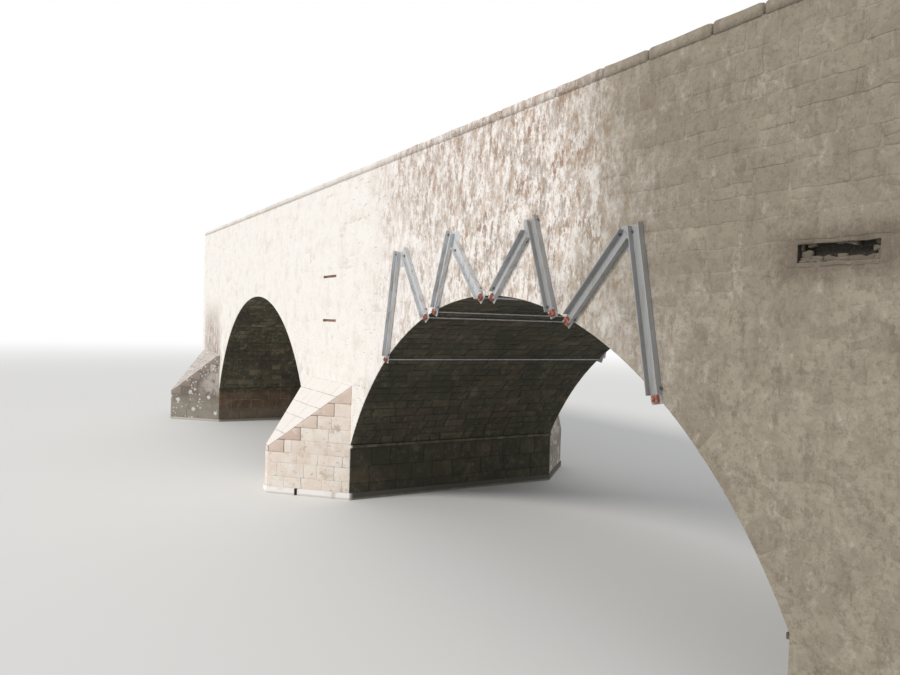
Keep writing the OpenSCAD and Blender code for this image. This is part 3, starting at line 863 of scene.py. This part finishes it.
dress(BARE, *[n for n in NODES if n.startswith(("spandrel", "parapet", "end_wall", "coping"))],
      "abutment_right", "abutment_left", "road_fill")
dress(VAULT_BED, "pier", *[n for n in NODES if n.startswith(("barrel", "ring"))])
dress(ASHLAR_BED, *both("pier_cutwater", "left_cutwater"))
dress(SPRINGING, "pier_impost", "impost_left", "impost_right")
dress(PLINTH, "pier_plinth", "left_plinth")
dress(CAP_BED, *both("pier_cap", "left_cap"))
dress(STEEL, "tie_rods", *both("struts", "foot_plates", "head_plates"))
dress(RUST, *both("foot_blocks"))
dress(ROADWAY, "road_surface")


def off_gap(u, v):
    """Distance from the ragged edge of the gap's surround, where the coat has fallen off."""
    low_x, high_x, low_z, high_z = GAP
    margin, ragged, fineness = 0.05, 0.07, 4.0
    out = max(low_x - u, u - high_x, low_z - v, v - high_z)
    return out - margin - ragged * noise.noise(Vector((u * fineness, v * fineness, 1.3)))


def coat_depth(x, z):
    """Depth of the lime coat left on the rubble: thick by the pier, more worn from the struts on."""
    wear, wave, grain = 0.0012, 0.0010, 0.0009
    broad = noise.fractal(Vector((x * 0.6, z * 0.6, 3.1)), 0.8, 2.1, 3)
    fine = noise.noise(Vector((x * 3.3, z * 3.3, 7.7)))
    worn = share(x, 1.2, 2.5)
    lost = share(x, 8.5, 2.0) * share(z, 4.2, 0.8)
    depth = COAT - wear * worn + (wave + wear * worn) * broad + grain * fine
    return min(max(depth - COAT_LOST * lost, COAT_LEAST), COAT_MOST)


def broken_coat(x, z):
    """The same on the near face, where the coat has fallen off round the gap."""
    return coat_depth(x, z) if off_gap(x, z) > CLEAR_OF_GAP else 0.0


def grid_lines(low, high, step, fixed):
    """Even lines between two places, with the fixed ones among them."""
    count = max(1, round((high - low) / step))
    fixed = sorted({round(p, 5) for p in fixed if low < p < high} | {low, high})
    even = [low + (high - low) * i / count for i in range(count + 1)]
    return sorted(fixed + [p for p in even if min(abs(p - q) for q in fixed) > step / 3])


def lime_coat(name, u_span, v_span, place, depth=coat_depth, voids=(), rules=()):
    """An uneven sheet over a face, left out over the voids and cut by the rules above the springing."""
    mesh = bmesh.new()
    corners = {}

    def corner(u, v):
        key = (round(u, 4), round(v, 4))
        if key not in corners:
            corners[key] = mesh.verts.new(place(u, v, depth(u, v)))
        return corners[key]

    us = grid_lines(*u_span, COAT_CELL, [p for box in voids for p in box[:2]])
    vs = grid_lines(*v_span, COAT_CELL, [p for box in voids for p in box[2:]])
    for u0, u1 in zip(us, us[1:]):
        for v0, v1 in zip(vs, vs[1:]):
            u, v = (u0 + u1) / 2, (v0 + v1) / 2
            if any(a < u < b and c < v < d for a, b, c, d in voids):
                continue
            cell = [(u0, v0), (u1, v0), (u1, v1), (u0, v1)]
            for rule in rules if v > SPRING_Z else ():
                cell = clip(cell, rule) if len(cell) > 2 else []
            points = list(dict.fromkeys(corner(*p) for p in cell))
            if len(points) > 2:
                mesh.faces.new(points)
    inward = (Vector(place(0, 0, 0)) - Vector(place(0, 0, 1))) * COAT_EDGE
    turned = {}
    for edge in [e for e in mesh.edges if e.is_boundary]:
        edge.smooth = False
        a, b = edge.verts
        for vert in edge.verts:
            if vert not in turned:
                turned[vert] = mesh.verts.new(vert.co + inward)
        mesh.faces.new((a, b, turned[b], turned[a]))
    bmesh.ops.recalc_face_normals(mesh, faces=mesh.faces)
    for face in mesh.faces:
        face.smooth = True
    data = bpy.data.meshes.new(name)
    mesh.to_mesh(data)
    mesh.free()
    return linked(name, data, LIME)


def face_place(side):
    """Carries (x, z, height) to the near face (side -1) or the far face (side 1)."""
    return lambda u, v, h: (u, side * (HALF_W + h), v)


def cutwater_span(mid):
    return mid - HALF_PIER, mid + HALF_PIER


def wall_face(side, label, seed):
    """Rubble and coat of one long face, in the stretches that cutwaters and arches leave."""
    work = Stonework(f"rubble_{label}", seed)
    place, hollows = face_place(side), HOLLOWS if side < 0 else []
    depth = broken_coat if side < 0 else coat_depth
    keep = [arch.beyond(arch.back_r) for arch in ARCHES]
    left, right = cutwater_span(LEFT_CUTWATER)
    stretches = [((LEFT_END, left), (0, CAP_TOP_Z)),
                 ((right, -HALF_PIER), (SPRING_Z, CAP_TOP_Z)),
                 ((HALF_PIER, RIGHT_ABUTMENT[0].x), (SPRING_Z, CAP_TOP_Z)),
                 ((RIGHT_ABUTMENT[0].x, RIGHT_END), (0, SPRING_Z)),
                 ((RIGHT_ABUTMENT[0].x, RIGHT_END), (SPRING_Z, CAP_TOP_Z)),
                 ((LEFT_END, RIGHT_END), (CAP_TOP_Z, PARAPET[1].z))]
    for u_span, v_span in stretches:
        rules = keep if v_span[0] >= SPRING_Z else []
        work.lay(u_span, v_span, place, RUBBLE, rules, side > 0, cover=depth, hollows=hollows)
    work.made(WALL_STONE)
    voids = [(a.x - a.half_span, a.x + a.half_span, 0, SPRING_Z) for a in ARCHES]
    voids += [(*cutwater_span(mid), 0, CAP_TOP_Z) for mid in (LEFT_CUTWATER, 0.0)] + hollows
    rules = [arch.beyond(arch.r) for arch in ARCHES] + ([off_gap] if hollows else [])
    lime_coat(f"lime_coat_{label}", (LEFT_END, RIGHT_END), (0, PARAPET[1].z), place, depth, voids, rules)


def gap_stones(seed):
    """What a lost stone left in the gap: broken hearting on its bottom and ends, a few stumps above."""
    work = Stonework("gap_stones", seed)
    rng = work.rng
    low_x, high_x, low_z, high_z = GAP
    deep, tuck = 0.115, 0.015
    put = lambda u, v, h: (u, deep - HALF_W - h, v)
    profile = ((0.0, 0.0), (0.0, 0.85), (0.012, 1.0))

    def lump(u0, u1, v0, v1, front):
        lean = rng.uniform(-0.014, 0.014)
        peak = rng.uniform(0.3, 0.7)
        tip = (u0 + (u1 - u0) * peak, v1 + abs(lean))
        outline = [(u0, v0), (u1, v0 - lean), (u1, v1 + lean), tip, (u0, v1)]
        work.stone(outline, put, deep * front, rough=0.012, profile=profile, step=0.035, uneven=0.5)

    front_row, back_row = (0.045, 0.62, 0.84), (0.095, 0.30, 0.52)
    for tallest, least, most in (front_row, back_row):
        u = low_x - tuck
        while u < high_x:
            stop = u + rng.uniform(0.05, 0.24)
            if rng.random() < 0.85:
                top = low_z + tallest * rng.uniform(0.3, 1.0)
                lump(u, min(stop, high_x + tuck), low_z - tuck, top, rng.uniform(least, most))
            u = stop
    for start in (0.10, 0.46, 0.58):
        u = low_x + (high_x - low_x) * start
        lump(u, u + rng.uniform(0.07, 0.16), high_z - rng.uniform(0.012, 0.03), high_z + tuck, 0.7)
    for end, inward in ((low_x - tuck, 1), (high_x + tuck, -1)):
        v = low_z
        while v < high_z:
            stop = v + rng.uniform(0.03, 0.08)
            reach = inward * (tuck + rng.uniform(0.0, 0.10))
            lump(*sorted((end, end + reach)), v, stop, rng.uniform(0.4, 0.84))
            v = stop
    work.made(WALL_STONE)


def arch_ring(arch, side, label, seed):
    """Arch stones of one face, side by side round the arch."""
    work = Stonework(f"arch_stones_{label}", seed)
    past_springing, lip = 0.12, 0.003
    reach = (arch.half_angle + past_springing) * arch.r

    def put(u, v, h):
        x, z = arch.at(u / arch.r, v)
        return x, side * (HALF_W + h), z

    above = lambda u, v: arch.at(u / arch.r, v)[1] - SPRING_Z
    beds = [arch.r + lip, arch.back_r]
    work.lay((-reach, reach), beds, put, ARCH_STONES, [above], side > 0, beds)
    work.made(WALL_STONE)


def soffit(arch, label, seed):
    """Courses of the vault, laid along the bridge's width."""
    work = Stonework(f"vault_{label}", seed)
    run = arch.half_angle * arch.r

    def put(u, v, h):
        x, z = arch.at(v / arch.r, arch.r - h)
        return x, u, z

    work.lay((-HALF_W, HALF_W), (-run, run), put, VAULT_COURSES)
    work.made(VAULT_STONE, "vault_stone")


def jamb(x, toward, label, seed):
    """Upright face of a pier or abutment inside an arch, in large blocks."""
    work = Stonework(f"jamb_{label}", seed)
    put = lambda u, v, h: (x + toward * h, u, v)
    work.lay((-HALF_W, HALF_W), (0.0, IMPOST[0].z), put, JAMB_BLOCKS, flip=toward < 0)
    work.made(VAULT_STONE, "vault_stone")


def cutwater(mid, side, foot, label, seed):
    """Dressed stones of both flanks, the blunt nose and the sloping cap."""
    body = Stonework(f"cutwater_stones_{label}", seed)
    cap = Stonework(f"cap_stones_{label}", seed + 7)
    step_out, fall = CUTWATER_OUT / CAP_STEPS, (CAP_TOP_Z - NOSE_Z) / CAP_STEPS
    cap_t = NOSE_Z - CAP_LOW_Z
    taper = HALF_PIER - NOSE_HALF
    long = math.hypot(taper, CUTWATER_OUT)
    slant = long / CUTWATER_OUT
    run = step_out * slant
    cap_joint, cap_relief, cap_rough = 0.010, 0.007, 0.004

    def bed(k):
        """Level under the k-th stone of the cap, counted from the wall."""
        return CAP_TOP_Z - cap_t - (k + 1) * fall

    def slope_at(z):
        """How far along the flank the slope of the cap comes down to a level."""
        return min((CAP_TOP_Z - z) * step_out / fall * slant, long)

    for hand in (-1, 1):
        turn = (hand > 0) == (side < 0)

        def put(u, v, h):
            out, across = u / slant, HALF_PIER - taper * u / long
            nx, ny = CUTWATER_OUT / long, taper / long
            return mid + hand * (across + nx * h), side * (HALF_W + out + ny * h), v

        body.lay((0, long), (foot, CAP_LOW_Z), put, ASHLAR_BLOCKS, flip=turn)
        for k in range(1, CAP_STEPS):
            step = [bed(k), bed(k - 1)]
            body.lay((0, k * run), step, put, STEP_BLOCKS, flip=turn, beds=step)
        for k in range(CAP_STEPS):
            top = bed(k - 1) if k else CAP_TOP_Z
            outline = [(k * run, bed(k)), (slope_at(bed(k)), bed(k))]
            if k == CAP_STEPS - 1:
                outline.append((long, NOSE_Z))
            outline += [(slope_at(top), top), (k * run, top)] if k else [(0, top)]
            cap.stone(drawn_in(outline, cap_joint), put, cap_relief, cap_rough, turn)

    nose_y = HALF_W + CUTWATER_OUT
    front = lambda u, v, h: (mid + u, side * (nose_y + h), v)

    def nose_stone(work, low, high):
        joint, relief, rough = 0.006, 0.005, 0.003
        quad = [(-NOSE_HALF, low), (NOSE_HALF, low), (NOSE_HALF, high), (-NOSE_HALF, high)]
        work.stone(drawn_in(quad, joint), front, relief, rough, side > 0)

    rows = even_beds(body.rng, foot, CAP_LOW_Z, ASHLAR_BLOCKS.course)
    for low, high in zip(rows, rows[1:]):
        nose_stone(body, low, high)

    up = math.hypot(CUTWATER_OUT, CAP_TOP_Z - NOSE_Z)
    cy, cz = CUTWATER_OUT / up, (CAP_TOP_Z - NOSE_Z) / up
    on_slope = lambda u, v, h: (mid + u, side * (nose_y - v * cy + h * cz), NOSE_Z + v * cz + h * cy)
    edge = lambda v: NOSE_HALF + taper * v / up
    hips = [lambda u, v: edge(v) - u, lambda u, v: edge(v) + u]
    slabs = CAP_SLABS._replace(course=up / CAP_STEPS)
    cap.lay((-HALF_PIER, HALF_PIER), (0, up), on_slope, slabs, hips, side > 0)
    nose_stone(cap, CAP_LOW_Z, NOSE_Z)
    body.made(ASHLAR)
    cap.made(CAP_STONE, "cap_stone")


def coping(label, seed):
    """Long flat stones on a parapet."""
    work = Stonework(f"coping_stones_{label}", seed)
    low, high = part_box(f"coping_{label}")
    put = lambda u, v, h: (min(max(u, low.x), high.x), v, low.z + min(h, high.z - low.z))
    profile = ((0.0, 0.0), (0.0, 0.78), (0.022, 0.94))
    gap, inset, tall = 0.004, 0.006, high.z - low.z - 0.012
    x = low.x
    while x < high.x - 1e-6:
        width = work.rng.uniform(0.6, 0.95)
        if x + width > high.x - 0.4:
            width = high.x - x
        quad = [(x + gap, low.y + inset), (x + width - gap, low.y + inset),
                (x + width - gap, high.y - inset), (x + gap, high.y - inset)]
        work.stone(quad, put, tall, rough=0.004, profile=profile, step=0.2, uneven=0.12)
        x += width
    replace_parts(work.made(WALL_STONE), f"coping_{label}")


def inner_parapet(side, label, seed):
    """Rubble and coat of a parapet's face to the road."""
    work = Stonework(f"parapet_stones_{label}", seed)
    put = lambda u, v, h: (u, side * (ROAD[1].y - h), v)
    spans = (LEFT_END, RIGHT_END), (ROAD[1].z, PARAPET[1].z)
    work.lay(*spans, put, PARAPET_RUBBLE, flip=side < 0, cover=coat_depth)
    work.made(WALL_STONE)
    lime_coat(f"parapet_coat_{label}", *spans, put)


def end_face(x, toward, label, seed):
    """Rough stones of an end, where the walls are cut off."""
    work = Stonework(f"end_stones_{label}", seed)
    put = lambda u, v, h: (x + toward * h, u, v)
    walls = [((-HALF_W, HALF_W), (0.0, ROAD[0].z)), ((-HALF_W, -ROAD[1].y), (ROAD[0].z, PARAPET[1].z)),
             ((ROAD[1].y, HALF_W), (ROAD[0].z, PARAPET[1].z))]
    for u_span, v_span in walls:
        work.lay(u_span, v_span, put, END_RUBBLE, flip=toward < 0)
    work.made(WALL_STONE)


def loose_parts(node):
    """The corners of each separate solid of a CAD node, and the way its longest edge runs upwards."""
    mesh = bmesh.new()
    mesh.from_mesh(NODES[node].data)
    bmesh.ops.remove_doubles(mesh, verts=mesh.verts, dist=0.0001)
    seen, parts = set(), []
    for start in mesh.verts:
        if start in seen:
            continue
        seen.add(start)
        part = [start]
        for vert in part:
            near = [edge.other_vert(vert) for edge in vert.link_edges]
            part += [other for other in near if other not in seen]
            seen.update(near)
        longest = max((edge for vert in part for edge in vert.link_edges), key=lambda e: e.calc_length())
        low, high = sorted((vert.co.copy() for vert in longest.verts), key=lambda p: p.z)
        parts.append(([vert.co.copy() for vert in part], (high - low).normalized()))
    mesh.free()
    return parts


def bolts(side, label):
    """A bolt with its nut and washer through the web of each strut, near both ends."""
    points, faces = [], []
    for corners, along in loose_parts(f"struts_{label}"):
        middle = sum(corners, Vector()) / len(corners)
        levels = sorted({round(abs(p.y), 4) for p in corners})
        reach = max((p - middle).dot(along) for p in corners)
        for end in (-1, 1):
            spot = middle + along * end * (reach - BOLT_FROM_END)
            for sides, radius, low, high in (WASHER, NUT, SHANK):
                first = len(points)
                for level in (low, high):
                    for i in range(sides):
                        turn = math.tau * i / sides + 0.4
                        points.append((spot.x + radius * math.cos(turn), side * (levels[1] + level),
                                       spot.z + radius * math.sin(turn)))
                top = first + sides
                faces += [(first + i, first + (i + 1) % sides, top + (i + 1) % sides, top + i)
                          for i in range(sides)]
                faces += [tuple(range(first, top)), tuple(range(top, top + sides))]
    data = bpy.data.meshes.new(f"strut_bolts_{label}")
    data.from_pydata(points, [], faces)
    mesh = bmesh.new()
    mesh.from_mesh(data)
    bmesh.ops.recalc_face_normals(mesh, faces=mesh.faces)
    mesh.to_mesh(data)
    mesh.free()
    linked(f"strut_bolts_{label}", data, DULL_STEEL)


for side, label, seed in ((-1, "near", 11), (1, "far", 23)):
    wall_face(side, label, seed)
    bolts(side, label)
    arch_ring(LEFT_ARCH, side, f"left_{label}", seed + 1)
    arch_ring(RIGHT_ARCH, side, f"right_{label}", seed + 2)
    cutwater(0.0, side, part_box("pier_plinth")[1].z, f"pier_{label}", seed + 3)
    cutwater(LEFT_CUTWATER, side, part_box("left_plinth")[1].z, f"left_{label}", seed + 4)
    coping(label, seed + 5)
    inner_parapet(side, label, seed + 6)
gap_stones(51)
soffit(LEFT_ARCH, "left", 41)
soffit(RIGHT_ARCH, "right", 42)
jamb(-HALF_PIER, -1, "pier_left", 43)
jamb(HALF_PIER, 1, "pier_right", 44)
jamb(LEFT_ABUTMENT[1].x, 1, "left", 45)
jamb(RIGHT_ABUTMENT[0].x, -1, "right", 46)
end_face(LEFT_END, -1, "left", 47)
end_face(RIGHT_END, 1, "right", 48)


def stage():
    """Pale floor under the bridge, fading into the white background."""
    half, fade_from, fade_to = 400.0, 30.0, 90.0
    corners = [(-half, -half, 0), (half, -half, 0), (half, half, 0), (-half, half, 0)]
    mesh = bpy.data.meshes.new("floor")
    mesh.from_pydata(corners, [], [(0, 1, 2, 3)])
    floor = bpy.data.objects.new("floor", mesh)
    bpy.context.scene.collection.objects.link(floor)
    f = Finish("pale_floor")
    off = f.node("ShaderNodeVectorMath", {"operation": "LENGTH"}, {0: f.place}, "Value")
    seen, glossy = f.rays()
    plain = f.node("ShaderNodeBsdfDiffuse", {}, {"Color": (0.80, 0.80, 0.79)})
    white = f.node("ShaderNodeEmission", {}, {"Color": (1, 1, 1), "Strength": 1.0})
    faded = off.between(fade_from, fade_to) * (seen + glossy)
    mesh.materials.append(f.shown(f.node("ShaderNodeMixShader", {}, {0: faded, 1: plain, 2: white})))


def lights():
    """A soft world that looks white, and one lamp over the near side."""
    world = bpy.data.worlds.new("studio")
    bpy.context.scene.world = world
    nodes = Nodes(world)
    seen, glossy = nodes.rays()
    soft = nodes.node("ShaderNodeBackground", {}, {"Color": (0.97, 0.98, 1.0), "Strength": 0.60})
    white = nodes.node("ShaderNodeBackground", {}, {"Color": (1, 1, 1), "Strength": 1.0})
    sky = nodes.node("ShaderNodeMixShader", {}, {0: seen.most(glossy), 1: soft, 2: white})
    nodes.node("ShaderNodeOutputWorld", {}, {"Surface": sky})
    sun = bpy.data.lights.new("key", "SUN")
    sun.energy, sun.angle, sun.color = 1.75, math.radians(14), (1.0, 0.97, 0.93)
    toward = Vector((-0.06, -0.82, 0.56))
    lamp = bpy.data.objects.new("key", sun)
    lamp.rotation_mode = "QUATERNION"
    lamp.rotation_quaternion = toward.to_track_quat("Z", "Y")
    bpy.context.scene.collection.objects.link(lamp)


def camera():
    """Stands at the photograph's viewpoint, off the right end, looking along the near face."""
    eye = Vector((16.42, -8.88, 4.0))
    heading, pitch, roll = math.radians(29.8), -0.024, 0.031
    along = Vector((-math.cos(heading), math.sin(heading), 0.0))
    ahead = along * math.cos(pitch) + Vector((0.0, 0.0, math.sin(pitch)))
    level = Vector((math.sin(heading), math.cos(heading), 0.0))
    upright = level.cross(ahead)
    right = math.cos(roll) * level + math.sin(roll) * upright
    up = -math.sin(roll) * level + math.cos(roll) * upright
    data = bpy.data.cameras.new("camera")
    data.sensor_width, data.lens = 36.0, 29.6
    data.clip_start, data.clip_end = 0.1, 2000.0
    shot = bpy.data.objects.new("camera", data)
    columns = Matrix((right, up, -ahead)).transposed()
    shot.matrix_world = Matrix.Translation(eye) @ columns.to_4x4()
    bpy.context.scene.collection.objects.link(shot)
    bpy.context.scene.camera = shot


stage()
lights()
camera()
bpy.context.scene.view_settings.view_transform = "Standard"
